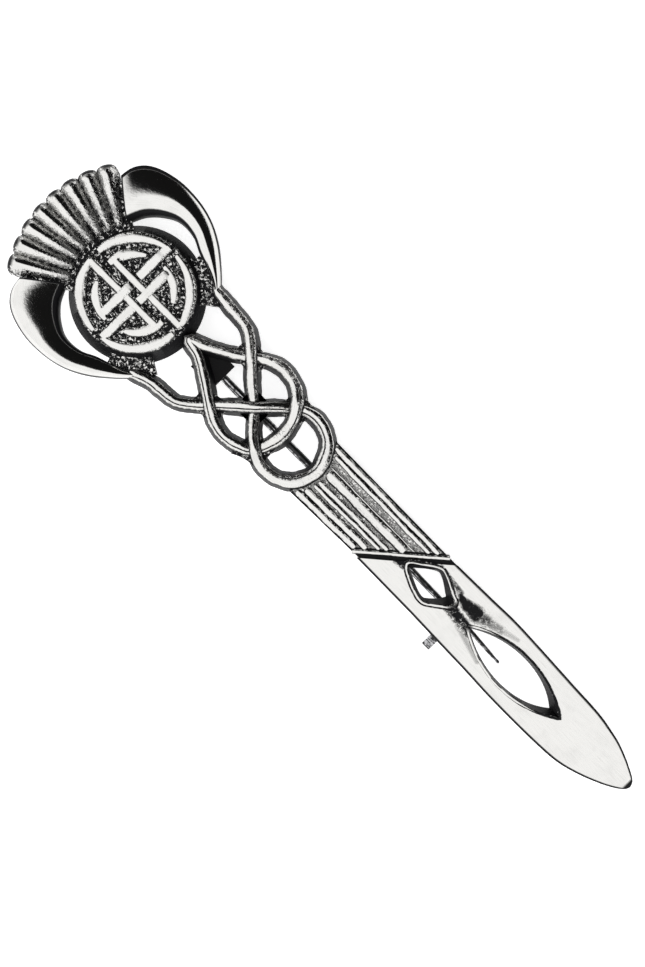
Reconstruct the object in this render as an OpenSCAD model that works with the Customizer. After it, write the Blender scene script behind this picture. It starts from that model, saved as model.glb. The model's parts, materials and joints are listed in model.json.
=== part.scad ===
// Kilt pin: a cast front with a knotwork head and a pierced blade, and a hinged pin with a turning catch on its back.
// X runs along the object from the tuft to the blade's tip, Z points out of the front face.
// It lies front up on its hinge ears and on the feet of its catch, and the origin is under its middle.

/* [Head] */
// Radius of the medallion's raised face
medallion_r = 7.7; // [7:0.1:8.4]
// How far the medallion's wall leans out below its face
medallion_lean = 0.5; // [0.3:0.05:0.8]
// Depth of a leaf, from the medallion's wall to its widest edge
leaf_depth = 8.05; // [7:0.05:9]
// Reach of the tuft beyond the medallion's wall
tuft_depth = 8.4; // [7.4:0.1:9.4]
// Width of the groove between the medallion and the tuft's ribs
tuft_groove = 0.5; // [0.3:0.05:0.8]
// Number of ribs in the tuft
rib_count = 8; // [7:1:9]
// Half of the tuft's spread in degrees
tuft_spread = 35.5; // [33:0.5:37]
// Width of the bands of the medallion's knot
band_w = 1.05; // [0.8:0.05:1.2]
// Distance of the straight bands from the medallion's middle
weave_offset = 1.1; // [0.9:0.05:1.3]
// Radius of the middle of the medallion's inner ring
inner_ring_r = 5; // [4.6:0.05:5.4]

/* [Open knot] */
// Length of the open knot, from the medallion's wall to the far edge of the ring
knot_span = 25.2; // [22:0.1:28]
// Half of the height of the open knot, to the middle of its outer cord
knot_half = 7; // [6.4:0.05:7.6]
// How far the knot's middle line stands off the object's middle line
knot_side = 0.3; // [0:0.05:0.6]
// Width of the flat top of a cord
cord_w = 1.25; // [1:0.05:1.5]

/* [Panel and blade] */
// Length of the ribbed panel, from the ring to the middle of the slanting groove
panel_len = 14.6; // [12:0.1:18]
// Gap between the ring and the panel's ribs at the middle
ring_gap = 0.7; // [0.5:0.05:0.9]
// Radius of the arc along which the panel's ribs start
ring_arc_r = 6.7; // [6:0.1:8]
// Half of the panel's width at the ring
panel_half = 4.6; // [4.3:0.05:5]
// Half of the panel's width at the slanting groove
panel_end_half = 4.3; // [4.1:0.05:5]
// Width of the slanting groove between the panel and the blade
groove_w = 1.2; // [0.8:0.05:1.6]
// Width of the raised line beside the slanting groove
line_w = 0.5; // [0.3:0.05:0.6]
// Angle between the slanting groove and the object's length
groove_angle = 40.6; // [36:0.2:48]
// Length of the blade, from the middle of the slanting groove to its tip
blade_len = 41.2; // [38:0.1:46]
// Half of the blade's greatest width
blade_half = 4.5; // [4.2:0.05:5]

/* [Openings in the blade] */
// Distance from the slanting groove's middle to the near corner of the diamond
diamond_gap = 0.9; // [0.8:0.05:1.4]
// Length of the diamond at the face
diamond_len = 7.9; // [6.8:0.1:8.6]
// Width of the diamond at the face
diamond_w = 4.6; // [3.8:0.05:5]
// How much shorter the leaf-shaped opening is at the back, towards the blade's tip
tail_bevel = 1.4; // [1:0.1:2.4]
// Length of the neck between the two openings
neck_len = 3.1; // [2.8:0.05:3.6]
// Length of the leaf-shaped opening at the face
leaf_hole_len = 16.6; // [14:0.1:18]
// Width of the leaf-shaped opening at the face
leaf_hole_w = 5.1; // [4.4:0.05:5.6]
// How far the walls of both openings lean in towards the back
hole_lean = 0.3; // [0.2:0.05:0.5]
// Width of the raised rim round each opening
rim_w = 0.3; // [0.2:0.05:0.5]

/* [Relief] */
// Thickness of the recessed webs and of the floors of the grooves
web_h = 1.4; // [1.2:0.05:1.6]
// Thickness of the blade
blade_h = 1.8; // [1.7:0.05:2.2]
// Thickness at the top of the panel's ribs
panel_h = 2; // [1.8:0.05:2.3]
// Mean thickness of a cord
cord_h = 2.5; // [2.3:0.05:2.8]
// How far a cord rises over a crossing and dips under one
cord_lift = 0.45; // [0.3:0.05:0.6]
// Thickness at the crown of a leaf
leaf_h = 3; // [2.6:0.05:3.4]
// Thickness at the outer end of a tuft rib
rib_h = 2.7; // [2.4:0.05:3.1]
// Thickness of the medallion under its knot
disc_h = 2.3; // [2:0.05:2.4]
// Mean thickness at the top of the medallion's bands
band_h = 2.9; // [2.8:0.05:3.2]
// Rise of the raised rims above the blade
rim_rise = 0.25; // [0.15:0.05:0.4]
// How much a side leans out for each millimetre that it goes down
draft = 0.13; // [0.08:0.01:0.18]

/* [Hinge and pin] */
// Height of the findings, from what they lie on to the back of the casting
finding_h = 4.2; // [4:0.1:5]
// Thickness of the base plates
plate_t = 0.6; // [0.5:0.05:0.7]
// Distance from the medallion's wall to the hinge axis
hinge_gap = 5.1; // [4.6:0.1:6]
// How far the hinge stands off the middle line
hinge_side = 0.3; // [0:0.05:0.5]
// Side of the hinge's square base plate
bracket_side = 4; // [3.6:0.1:4.4]
// Thickness of a hinge ear
ear_t = 0.6; // [0.5:0.05:0.8]
// Radius of an ear's round end, which is the height of the hinge axis
ear_r = 1.6; // [1.4:0.05:1.8]
// Radius of the rivet
rivet_r = 0.45; // [0.35:0.01:0.5]
// Radius of the rivet's heads
rivet_head_r = 0.8; // [0.7:0.05:0.9]
// Thickness of the rivet's heads
rivet_head_t = 0.3; // [0.2:0.05:0.4]
// Radius of the pin's wire
wire_r = 0.53; // [0.45:0.01:0.58]
// Radius of the pin's eye
eye_r = 1.15; // [1:0.05:1.2]
// Distance from the hinge to where the pin starts to taper
taper_start = 32; // [26:0.5:34]
// How far the pin's end reaches past the catch
pin_past = 8.1; // [7:0.1:9.5]
// Radius of the pin's blunt end
point_r = 0.22; // [0.18:0.01:0.26]
// Length of straight pin past the catch, before its bent end
bend_gap = 0.6; // [0.4:0.1:1]
// Sideways bend of the pin's end in degrees
point_bend = 3; // [0:0.5:3]

/* [Catch] */
// How far the catch stands off the middle line
catch_side = -0.25; // [-0.4:0.05:0]
// Length of the catch's base plate along the pin
catch_len = 3.1; // [2.9:0.05:3.3]
// Width of the catch's base plate across the pin
catch_w = 3; // [2.8:0.1:3.6]
// Thickness of a catch cheek
cheek_t = 0.6; // [0.5:0.05:0.7]
// Outer radius of the barrel where it turns in the cheeks
journal_r = 0.9; // [0.85:0.01:1]
// Outer radius of the barrel between the cheeks
barrel_r = 1.25; // [1.15:0.05:1.35]
// Radius of the barrel's hollow
hollow_r = 0.52; // [0.5:0.01:0.56]
// Width of the barrel's slot
slot_w = 0.92; // [0.88:0.01:1]
// Width of the finger tab
tab_w = 1.2; // [0.8:0.05:1.3]
// Thickness of the finger tab
tab_t = 0.5; // [0.4:0.05:0.6]
// Reach of the finger tab from the barrel's axis
tab_reach = 5.65; // [5:0.05:6.2]
// Depth of the turned lip at the tab's end
lip_drop = 0.4; // [0.2:0.05:0.6]

/* [Fits] */
// Radial play of the pin's eye on the rivet and of the barrel in its cheeks
running_play = 0.04; // [0.02:0.005:0.06]
// Radial play of the rivet in the ears
rivet_play = 0.02; // [0.01:0.005:0.04]
// Gap at each side of what turns between two ears or cheeks
side_play = 0.06; // [0.04:0.01:0.1]
// Film between a base plate and the casting's back
seat_film = 0.05; // [0.03:0.01:0.08]

/* [Hidden] */
$fn = 48;
pewter = [0.78, 0.77, 0.75];
steel = [0.66, 0.67, 0.69];
dark_steel = [0.5, 0.51, 0.53];

// Columns of the tables
along = 0;
across = 1;
level = 2;
width = 3;
angle = 0;
outer = 1;
inner = 2;
crown = 3;

// Half of the long cord, from the leaf's end to the ring's far side. The other half is its mirror image, and what
// passes over here passes under there.
// [share along the knot, share of its half height, 1 over a crossing or -1 under it, share of the cord's width]
long_cord = [
    [0.050, 0.993, 0, 1], [0.185, 0.950, 0.2, 1], [0.251, 0.840, 0.6, 1], [0.335, 0.590, 1, 1],
    [0.435, 0.270, 0, 1], [0.527, 0, -1, 1], [0.620, -0.335, 0, 1], [0.686, -0.510, 1, 1],
    [0.750, -0.614, 0.3, 1], [0.825, -0.645, 0, 1.1], [0.905, -0.575, 0, 1.2], [0.970, -0.365, 0, 1.3],
    [1, 0, 0, 1.3]
];

// The closed cord, from the medallion round and back
// [share along the knot, share of the half height, 1 over or -1 under, share of the cord's width]
closed_cord = [
    [0.030, 0.040, 0.4, 1], [0.121, 0.186, 0, 1], [0.230, 0.393, -0.4, 1], [0.328, 0.620, -1, 1],
    [0.427, 0.820, 0, 1], [0.510, 0.875, 0, 1.1], [0.607, 0.795, 0.3, 1.1], [0.680, 0.585, 1, 1.1],
    [0.730, 0.257, 0, 1.1], [0.734, -0.130, 0, 1.1], [0.688, -0.525, -1, 1], [0.610, -0.693, 0, 1],
    [0.515, -0.757, 0, 1], [0.423, -0.680, 0.4, 1], [0.343, -0.520, 1, 1], [0.218, -0.236, 0.3, 1],
    [0.121, -0.050, 0, 1]
];

// One leaf, round from the tuft to the point where its cord starts
// [angle from the blade, outer edge and inner edge as shares of the leaf's depth, share of its crown's thickness]
leaf_rows = [
    [142.5, 0.845, 0.100, 0.90], [136, 0.969, 0.125, 1], [128, 1, 0.180, 1], [116, 0.907, 0.236, 1],
    [104, 0.783, 0.273, 1], [90, 0.641, 0.224, 1], [78, 0.503, 0.149, 0.96], [66, 0.379, 0.161, 0.90],
    [56, 0.317, 0.186, 0.86], [47, 0.300, 0.215, 0.83]
];

// One rib of the tuft, from its root to its round end
// [0 at the root, 1 where the round end starts and 2 at the tip, share of the width there, share of the height]
rib_rows = [
    [0, 0.78, 0.66], [0.08, 1, 0.78], [0.5, 1, 0.92], [1, 1, 1], [1.45, 0.90, 0.97], [1.8, 0.66, 0.86],
    [2, 0.36, 0.66]
];

// The blade's edge from the groove to the tip
// [share of the way from the upper edge's start to the tip, upper and lower edge as shares of the half width]
blade_rows = [
    [0.02, 0.978, -0.885], [0.168, 0.978, -0.911], [0.283, 1, -0.956], [0.396, 0.984, -0.991],
    [0.51, 0.925, -1.009], [0.612, 0.880, -0.991], [0.694, 0.858, -0.958], [0.748, 0.813, -0.920],
    [0.799, 0.750, -0.850], [0.844, 0.644, -0.732], [0.887, 0.511, -0.575], [0.938, 0.350, -0.370],
    [0.970, 0.245, -0.250], [0.988, 0.150, -0.155], [0.996, 0.090, -0.090], [1, 0.030, -0.030]
];

// The panel's raised ribs, from one edge to the other
// [lower side and upper side as shares of the panel's half width, share of its thickness above the web]
panel_ribs = [
    [-0.880, -0.670, 1], [-0.625, -0.455, 1], [-0.315, -0.205, 1], [-0.175, -0.045, 0.8], [0.105, 0.330, 1],
    [0.390, 0.425, 0.6], [0.655, 0.765, 0.9], [0.810, 1.020, 1]
];

// The openings' outlines: [share of the length, share of the width]
diamond_face = [
    [0, -0.065], [0.28, -0.36], [0.54, -0.5], [0.7, -0.4], [1, 0.05], [0.82, 0.25], [0.56, 0.47], [0.42, 0.48],
    [0.2, 0.24]
];

// Sections of a raised band, from one foot to the other: [share of the half width, share of the height]
band_section = [[-1, 0], [-1, 0.86], [-0.55, 1], [0.55, 1], [1, 0.86], [1, 0]];
rib_section = [[-1, 0], [-1, 0.5], [-0.74, 0.85], [-0.26, 1], [0.26, 1], [0.74, 0.85], [1, 0.5], [1, 0]];
leaf_section = [[-1, 0], [-1, 0.42], [-0.8, 0.76], [-0.35, 1], [0.3, 1], [0.75, 0.85], [1, 0.5], [1, 0]];

// Where things stand along the object, measured from the medallion's middle
wall_r = medallion_r + medallion_lean;
ring_foot = long_cord[len(long_cord) - 1][width] * cord_w / 2 + cord_h * draft;
ring_end = wall_r + knot_span;
groove_x = ring_end + panel_len;
tip_x = groove_x + blade_len;
diamond_x = groove_x + diamond_gap;
leaf_hole_x = diamond_x + diamond_len + neck_len;
hinge_x = wall_r + hinge_gap;
catch_x = leaf_hole_x - neck_len / 2;
axis_h = ear_r;
seat_h = finding_h - seat_film;

// Places of the openings across the object, as shares of their own widths
diamond_y = 0.065 * diamond_w;
leaf_hole_y = -0.03 * leaf_hole_w;

// Geometry functions
function polar(r, a) = [r * cos(a), r * sin(a)];
function unit(v) = v / norm(v);
function curve(a, b, c, d, t) =
    0.5 * (2 * b + (c - a) * t + (2 * a - 5 * b + 4 * c - d) * t * t + (3 * b - a - 3 * c + d) * t * t * t);
function through(rows, steps) = let (last = len(rows) - 1) [
    for (i = [0 : last - 1], s = [0 : steps - 1])
        curve(rows[max(i - 1, 0)], rows[i], rows[i + 1], rows[min(i + 2, last)], s / steps),
    rows[last]
];
function round_loop(rows, steps) = let (n = len(rows)) [
    for (i = [0 : n - 1], s = [0 : steps - 1])
        curve(rows[(i + n - 1) % n], rows[i], rows[(i + 1) % n], rows[(i + 2) % n], s / steps)
];
function heading(rows, i, closed) = let (
    n = len(rows),
    before = closed ? rows[(i + n - 1) % n] : rows[max(i - 1, 0)],
    after = closed ? rows[(i + 1) % n] : rows[min(i + 1, n - 1)]
) unit([after.x - before.x, after.y - before.y]);
function ring_at(row, way, section) = [
    for (s = section) let (off = s[0] * (row[2] + (1 - s[1]) * row[3] * draft))
        [row.x - way.y * off, row.y + way.x * off, s[1] * row[3]]
];
function lens(length, width) = let (
    r = (length * length + width * width) / (4 * width),
    half = asin(length / 2 / r)
) [
    for (s = [1, -1], a = [-half : half / 7 : half * 0.99])
        [length / 2 + s * r * sin(a), s * (r * cos(a) - r + width / 2)]
];

// A raised band along rows of [x, y, half width of its top, height]
module raised(rows, section, closed = false) {
    n = len(rows);
    m = len(section);
    points = [for (i = [0 : n - 1]) each ring_at(rows[i], heading(rows, i, closed), section)];
    sides = [
        for (i = [0 : n - (closed ? 1 : 2)], j = [0 : m - 1])
            [i * m + j, i * m + (j + 1) % m, (i + 1) % n * m + (j + 1) % m, (i + 1) % n * m + j]
    ];
    ends = closed ? [] : [[for (j = [m - 1 : -1 : 0]) j], [for (j = [0 : m - 1]) (n - 1) * m + j]];
    polyhedron(points, concat(sides, ends), convexity = 6);
}

// Rows of a cord: the knot's own shares become places, and its levels become heights
function cord_place(row) = [
    wall_r + row[along] * (knot_span - ring_foot),
    knot_side + row[across] * knot_half,
    row[width] * cord_w / 2,
    cord_h + row[level] * cord_lift
];
function leaf_place(row) = let (
    near = wall_r + row[inner] * leaf_depth,
    far = wall_r + row[outer] * leaf_depth,
    top = leaf_h * row[crown]
) [each polar((near + far) / 2, row[angle]), (far - near) / 2 - top * draft, top];
leaf_path = through([for (row = leaf_rows) leaf_place(row)], 3);
leaf_end = leaf_path[len(leaf_path) - 1];
upper_half = concat([[leaf_end.x, leaf_end.y, cord_w / 2, cord_h]], [for (row = long_cord) cord_place(row)]);
lower_half = [
    for (i = [len(upper_half) - 2 : -1 : 0]) let (row = upper_half[i])
        [row.x, (i == 0 ? 0 : 2 * knot_side) - row.y, row[2], 2 * cord_h - row[3]]
];
long_path = through(concat(upper_half, lower_half), 4);
closed_path = round_loop([for (row = closed_cord) cord_place(row)], 4);

// The object's extent, from the same shapes
rib_pitch = 2 * tuft_spread / rib_count;
rib_tip = wall_r + tuft_depth;
function rib_half(r) = r * PI * rib_pitch / 360 * 0.94;
rib_end = rib_tip - rib_half(rib_tip);
rib_path = [
    for (row = rib_rows) let (
        x = row[0] < 1 ? wall_r + tuft_groove + row[0] * (rib_end - wall_r - tuft_groove)
            : rib_end + (row[0] - 1) * (rib_tip - rib_end)
    ) [x, 0, rib_half(min(x, rib_end)) * row[1] - rib_h * row[2] * draft, rib_h * row[2]]
];
rib_angles = [for (i = [0 : rib_count - 1]) 180 - tuft_spread + (i + 0.5) * rib_pitch];
rib_points = [for (i = [0 : len(rib_path) - 1]) each ring_at(rib_path[i], heading(rib_path, i, false), rib_section)];
tuft_x = max([for (a = rib_angles, p = rib_points) p.y * sin(a) - p.x * cos(a)]);
leaf_points = [for (i = [0 : len(leaf_path) - 1]) each ring_at(leaf_path[i], heading(leaf_path, i, false), leaf_section)];
leaf_y = max([for (p = leaf_points) p.y]);
middle_x = (tip_x - tuft_x) / 2;

module placed() {
    translate([-middle_x, 0, 0]) children();
}

// Part of a flat ring between two radii and two angles
module sector(near, far, from, to, h) {
    steps = ceil((to - from) / 5);
    angles = [for (i = [0 : steps]) from + (to - from) * i / steps];
    linear_extrude(h) polygon(concat([for (a = angles) polar(far, a)],
        [for (i = [steps : -1 : 0]) polar(near, angles[i])]));
}

// One rib of the tuft, narrow at its root and round at its end
module tuft_rib() {
    raised(rib_path, rib_section);
}

module tuft() {
    sector(medallion_r, rib_end, 180 - tuft_spread, 180 + tuft_spread, web_h);
    for (a = rib_angles) rotate(a) tuft_rib();
}

// A leaf with its crescent opening, and the webs that join it to the medallion at both ends of the opening
module leaf(web_to) {
    raised([for (i = [len(leaf_path) - 1 : -1 : 0]) leaf_path[i]], leaf_section);
    first = leaf_rows[0];
    last = leaf_rows[len(leaf_rows) - 1];
    web_out = wall_r + leaf_depth * (last[inner] + 0.04);
    sector(medallion_r, web_out, last[angle] - 2, web_to, web_h);
    sector(medallion_r, wall_r + leaf_depth * 0.75, leaf_rows[1][angle], 180 - tuft_spread + 1, web_h);
}

// A quarter of the medallion's knot: a straight band that passes over the inner ring at one end and under it at the
// other, an arc of the outer ring that springs from it, and an arc of the inner ring
module medallion_quarter() {
    over = band_h * 1.035;
    under = band_h * 0.9;
    outer_ring_r = medallion_r - band_w / 2;
    straight = [
        [outer_ring_r, band_h], [inner_ring_r + band_w, band_h], [inner_ring_r, over], [inner_ring_r - band_w, band_h],
        [weave_offset, under], [0, band_h], [-weave_offset, over], [band_w - inner_ring_r, band_h],
        [-inner_ring_r, under]
    ];
    raised([for (s = straight) [-weave_offset, s[0], band_w / 2, s[1]]], band_section);
    start = 90 + asin(weave_offset / outer_ring_r);
    raised([for (i = [0 : 10]) [each polar(outer_ring_r, start + 7.8 * i), band_w / 2, band_h]], band_section);
    raised([for (i = [0 : 7]) [each polar(inner_ring_r, 119 + 8.3 * i), band_w / 2, band_h * 0.98]], band_section);
}

module medallion() {
    cylinder(h = disc_h, r1 = wall_r, r2 = medallion_r, $fn = 60);
    for (a = [0 : 90 : 270]) rotate(a) medallion_quarter();
}

module open_knot() {
    raised(long_path, band_section);
    raised(closed_path, band_section, closed = true);
}

// Where the slanting groove's middle is at a place across the object
function slant(y) = groove_x + y / tan(groove_angle);
half_groove = groove_w / 2 / sin(groove_angle);
line_run = line_w / sin(groove_angle);

// Where the panel's ribs start, round the outside of the ring
function ring_side(y) = ring_end + ring_gap - (y - knot_side) * (y - knot_side) / 2 / ring_arc_r;

module panel_rib(low, high, h) {
    starts = [for (side = [low, high]) [ring_side(side * panel_half), side * panel_half]];
    ends = [
        for (side = [low, high]) let (y = side * panel_end_half) [slant(y) - half_groove - 2 * line_run, y]
    ];
    linear_extrude(h) polygon([starts[0], ends[0], ends[1], starts[1]]);
}

module panel() {
    low = panel_ribs[0][0];
    high = panel_ribs[len(panel_ribs) - 1][1];
    near = [for (side = [low, high]) [ring_side(side * panel_half) - ring_gap * 0.7, side * panel_half]];
    far = [for (side = [low, high]) let (y = side * panel_end_half) [slant(y) - half_groove, y]];
    under = [groove_w * 2, 0];
    ring_x = ring_end - ring_foot;
    linear_extrude(web_h) polygon([
        [ring_x, near[0].y * 0.6], near[0], far[0] + under, far[1] + under, near[1], [ring_x, near[1].y * 0.6]
    ]);
    for (rib = panel_ribs) panel_rib(rib[0], rib[1], web_h + rib[2] * (panel_h - web_h));
    line = [line_run, 0];
    linear_extrude((web_h + panel_h) / 2) polygon([far[0] - line, far[0], far[1], far[1] - line]);
}

module blade_outline() {
    first_up = blade_rows[0][1] * blade_half;
    first_low = -0.86 * blade_half;
    start_up = [slant(first_up) + half_groove, first_up];
    start_low = [slant(first_low) + half_groove, first_low];
    edges = [
        for (side = [1, 2]) [
            for (row = blade_rows) [start_up.x + row[0] * (tip_x - start_up.x), row[side] * blade_half]
        ]
    ];
    lower = through(edges[1], 2);
    polygon(concat([start_up], through(edges[0], 2), [for (i = [len(lower) - 1 : -1 : 0]) lower[i]], [start_low]));
}

module diamond_outline() {
    translate([diamond_x, diamond_y])
        polygon([for (p = diamond_face) [p.x * diamond_len, p.y * diamond_w]]);
}

module leaf_hole_outline(shorter = 0) {
    translate([leaf_hole_x, leaf_hole_y]) polygon(lens(leaf_hole_len - shorter, leaf_hole_w));
}

// A thin layer of an outline that is grown or shrunk, for the openings' sloping walls
module layer(grow, z, kind) {
    translate([0, 0, z]) linear_extrude(0.01) offset(delta = grow) {
        if (kind == "diamond") diamond_outline();
        else leaf_hole_outline(grow < 0 ? tail_bevel : 0);
    }
}

module opening(kind) {
    hull() {
        layer(0, blade_h + rim_rise, kind);
        layer(-hole_lean, 0, kind);
    }
    translate([0, 0, -1]) hull() {
        layer(-hole_lean, 0, kind);
        layer(-hole_lean, 1, kind);
    }
    translate([0, 0, blade_h + rim_rise]) hull() {
        layer(0, 0, kind);
        layer(0, 1, kind);
    }
}

module blade() {
    difference() {
        union() {
            linear_extrude(blade_h) blade_outline();
            for (kind = ["diamond", "leaf"]) hull() {
                layer(rim_w, 0, kind);
                layer(rim_w, blade_h + rim_rise - 0.01, kind);
            }
        }
        for (kind = ["diamond", "leaf"]) opening(kind);
    }
}

module casting() {
    color(pewter) placed() translate([0, 0, finding_h]) union() {
        tuft();
        leaf(79);
        mirror([0, 1, 0]) leaf(71);
        medallion();
        open_knot();
        panel();
        blade();
    }
}

// The hinge: its ears stand on the surface below and hold the rivet
eye_w = bracket_side - 2 * ear_t - 2 * side_play;

module across_hinge(w, r) {
    translate([hinge_x, hinge_side, axis_h]) rotate([90, 0, 0]) cylinder(h = w, r = r, center = true);
}

module joint_bracket() {
    ear_top = seat_h - plate_t / 2;
    color(steel) placed() difference() {
        union() {
            translate([hinge_x - bracket_side / 2, hinge_side - bracket_side / 2, seat_h - plate_t])
                cube([bracket_side, bracket_side, plate_t]);
            for (side = [-1, 1]) translate([hinge_x, hinge_side + side * (bracket_side - ear_t) / 2, 0]) {
                translate([0, 0, axis_h]) rotate([90, 0, 0]) cylinder(h = ear_t, r = ear_r, center = true);
                translate([-ear_r, -ear_t / 2, axis_h]) cube([2 * ear_r, ear_t, ear_top - axis_h]);
            }
        }
        across_hinge(bracket_side + 2, rivet_r + rivet_play);
    }
}

module rivet() {
    color(dark_steel) placed() {
        across_hinge(bracket_side + 2 * rivet_play + rivet_head_t, rivet_r);
        for (side = [-1, 1]) translate([0, side * (bracket_side / 2 + rivet_play + rivet_head_t / 2), 0])
            across_hinge(rivet_head_t, rivet_head_r);
    }
}

// The pin runs straight from the hinge through the catch, and its end past the catch is bent a little to one side
catch_way = atan2(catch_side - hinge_side, catch_x - hinge_x);
reach = norm([catch_side - hinge_side, catch_x - hinge_x]);
bend_at = reach + catch_len / 2 + bend_gap;
pin_len = reach + pin_past;
bend_r = wire_r + (point_r - wire_r) * (bend_at - taper_start) / (pin_len - taper_start);

module pin_stem() {
    color(steel) placed() difference() {
        union() {
            across_hinge(eye_w, eye_r);
            translate([hinge_x, hinge_side, axis_h]) rotate([0, 90, catch_way]) {
                cylinder(h = taper_start, r = wire_r);
                translate([0, 0, taper_start]) cylinder(h = bend_at - taper_start, r1 = wire_r, r2 = bend_r);
                translate([0, 0, bend_at]) {
                    sphere(r = bend_r);
                    rotate([point_bend, 0, 0]) {
                        cylinder(h = pin_len - bend_at, r1 = bend_r, r2 = point_r);
                        translate([0, 0, pin_len - bend_at]) sphere(r = point_r);
                    }
                }
            }
        }
        across_hinge(eye_w + 2, rivet_r + running_play);
    }
}

// The catch: two cheeks on a base plate hold a slotted barrel that turns round the pin
module along_catch(length, r) {
    translate([catch_x, catch_side, axis_h]) rotate([0, 90, 0]) cylinder(h = length, r = r, center = true);
}

module slot_below(length, width) {
    translate([catch_x - length / 2, catch_side - width / 2, -1]) cube([length, width, axis_h + 1]);
}

module catch_housing() {
    color(steel) placed() difference() {
        union() {
            translate([catch_x - catch_len / 2, catch_side - catch_w / 2, seat_h - plate_t])
                cube([catch_len, catch_w, plate_t]);
            for (x = [catch_x - catch_len / 2, catch_x + catch_len / 2 - cheek_t])
                translate([x, catch_side - catch_w / 2, 0]) cube([cheek_t, catch_w, seat_h - plate_t / 2]);
        }
        along_catch(catch_len + 1, journal_r + running_play);
        slot_below(catch_len + 1, slot_w * 1.1);
    }
}

module catch_lever() {
    color(dark_steel) placed() difference() {
        union() {
            along_catch(catch_len, journal_r);
            along_catch(catch_len - 2 * cheek_t - 2 * side_play, barrel_r);
            translate([catch_x - tab_w / 2, catch_side - tab_reach, axis_h - tab_t / 2])
                cube([tab_w, tab_reach, tab_t]);
            translate([catch_x - tab_w / 2, catch_side - tab_reach, axis_h - tab_t / 2 - lip_drop])
                cube([tab_w, tab_t, lip_drop + tab_t / 2]);
        }
        along_catch(catch_len + 1, hollow_r);
        slot_below(catch_len + 1, slot_w);
    }
}

casting();
joint_bracket();
rivet();
pin_stem();
catch_housing();
catch_lever();
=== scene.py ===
import json
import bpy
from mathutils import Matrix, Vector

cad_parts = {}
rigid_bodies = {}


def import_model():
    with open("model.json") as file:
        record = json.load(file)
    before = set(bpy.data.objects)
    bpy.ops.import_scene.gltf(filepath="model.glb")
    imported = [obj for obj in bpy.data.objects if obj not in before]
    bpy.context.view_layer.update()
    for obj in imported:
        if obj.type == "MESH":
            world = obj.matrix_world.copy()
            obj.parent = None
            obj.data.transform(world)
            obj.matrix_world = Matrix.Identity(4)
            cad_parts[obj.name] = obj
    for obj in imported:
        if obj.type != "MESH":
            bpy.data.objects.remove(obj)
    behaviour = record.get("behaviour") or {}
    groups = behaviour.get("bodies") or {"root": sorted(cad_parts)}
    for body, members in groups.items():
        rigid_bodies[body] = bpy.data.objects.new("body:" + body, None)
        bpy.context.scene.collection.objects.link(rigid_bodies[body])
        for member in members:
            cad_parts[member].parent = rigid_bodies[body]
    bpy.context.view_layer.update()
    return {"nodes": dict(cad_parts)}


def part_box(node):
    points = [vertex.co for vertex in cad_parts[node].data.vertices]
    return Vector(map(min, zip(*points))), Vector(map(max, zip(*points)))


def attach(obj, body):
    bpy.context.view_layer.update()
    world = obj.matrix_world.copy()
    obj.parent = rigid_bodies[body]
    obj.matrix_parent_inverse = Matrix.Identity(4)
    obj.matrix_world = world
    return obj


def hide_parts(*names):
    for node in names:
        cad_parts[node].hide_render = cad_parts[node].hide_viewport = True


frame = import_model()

from types import SimpleNamespace

import bpy
import numpy as np
from bpy.props import FloatProperty, FloatVectorProperty, IntProperty, PointerProperty
from mathutils import Matrix, Vector

bl_info = {
    "name": "Kilt Pin",
    "version": (1, 0, 0),
    "blender": (4, 5, 0),
    "location": "3D View > Sidebar > Kilt Pin",
    "description": "A cast kilt pin with a knotwork head and a pierced blade",
    "category": "Add Mesh",
}

# Half of the long cord, from the leaf's end to the ring's far side. The other half is its mirror image, and
# what passes over here passes under there.
# [share along the knot, share of its half height, 1 over or -1 under, share of the cord's width]
LONG_CORD = [
    [0.050, 0.993, 0, 1], [0.185, 0.950, 0.2, 1], [0.251, 0.840, 0.6, 1], [0.335, 0.590, 1, 1],
    [0.435, 0.270, 0, 1], [0.527, 0, -1, 1], [0.620, -0.335, 0, 1], [0.686, -0.510, 1, 1],
    [0.740, -0.620, 0.3, 1], [0.807, -0.660, 0, 1.1], [0.887, -0.600, 0, 1.15], [0.960, -0.400, 0, 1.2],
    [1, 0, 0, 1.2],
]

# The closed cord, from the medallion round and back
# [share along the knot, share of its half height, 1 over or -1 under, share of the cord's width]
CLOSED_CORD = [
    [0.030, 0.040, 0.4, 1], [0.121, 0.186, 0, 1], [0.230, 0.393, -0.4, 1], [0.328, 0.620, -1, 1],
    [0.427, 0.820, 0, 1], [0.510, 0.875, 0, 1.1], [0.607, 0.795, 0.3, 1.1], [0.680, 0.585, 1, 1.1],
    [0.730, 0.257, 0, 1.1], [0.734, -0.130, 0, 1.1], [0.688, -0.525, -1, 1], [0.610, -0.693, 0, 1],
    [0.515, -0.757, 0, 1], [0.423, -0.680, 0.4, 1], [0.343, -0.520, 1, 1], [0.218, -0.236, 0.3, 1],
    [0.121, -0.050, 0, 1],
]

# One leaf, round from the tuft to the point where its cord starts
# [angle from the blade, outer and inner edge as shares of the leaf's depth, share of its thickness]
LEAF = [
    [142.5, 0.865, 0.110, 1], [136, 0.985, 0.155, 1], [128, 1.010, 0.215, 1], [116, 0.912, 0.272, 1],
    [104, 0.785, 0.305, 1], [90, 0.645, 0.250, 1], [78, 0.520, 0.165, 0.96], [66, 0.410, 0.161, 0.90],
    [56, 0.352, 0.186, 0.86], [47, 0.318, 0.215, 0.83],
]

# One rib of the tuft, from its root to its round end
# [0 at the root, 1 where the round end starts and 2 at the tip, share of the width, share of the height]
RIB = [
    [0, 0.78, 0.66], [0.08, 1, 0.78], [0.5, 1, 0.92], [1, 1, 1], [1.45, 0.97, 0.93], [1.75, 0.86, 0.8],
    [1.93, 0.66, 0.6], [2, 0.42, 0.45],
]

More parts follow.
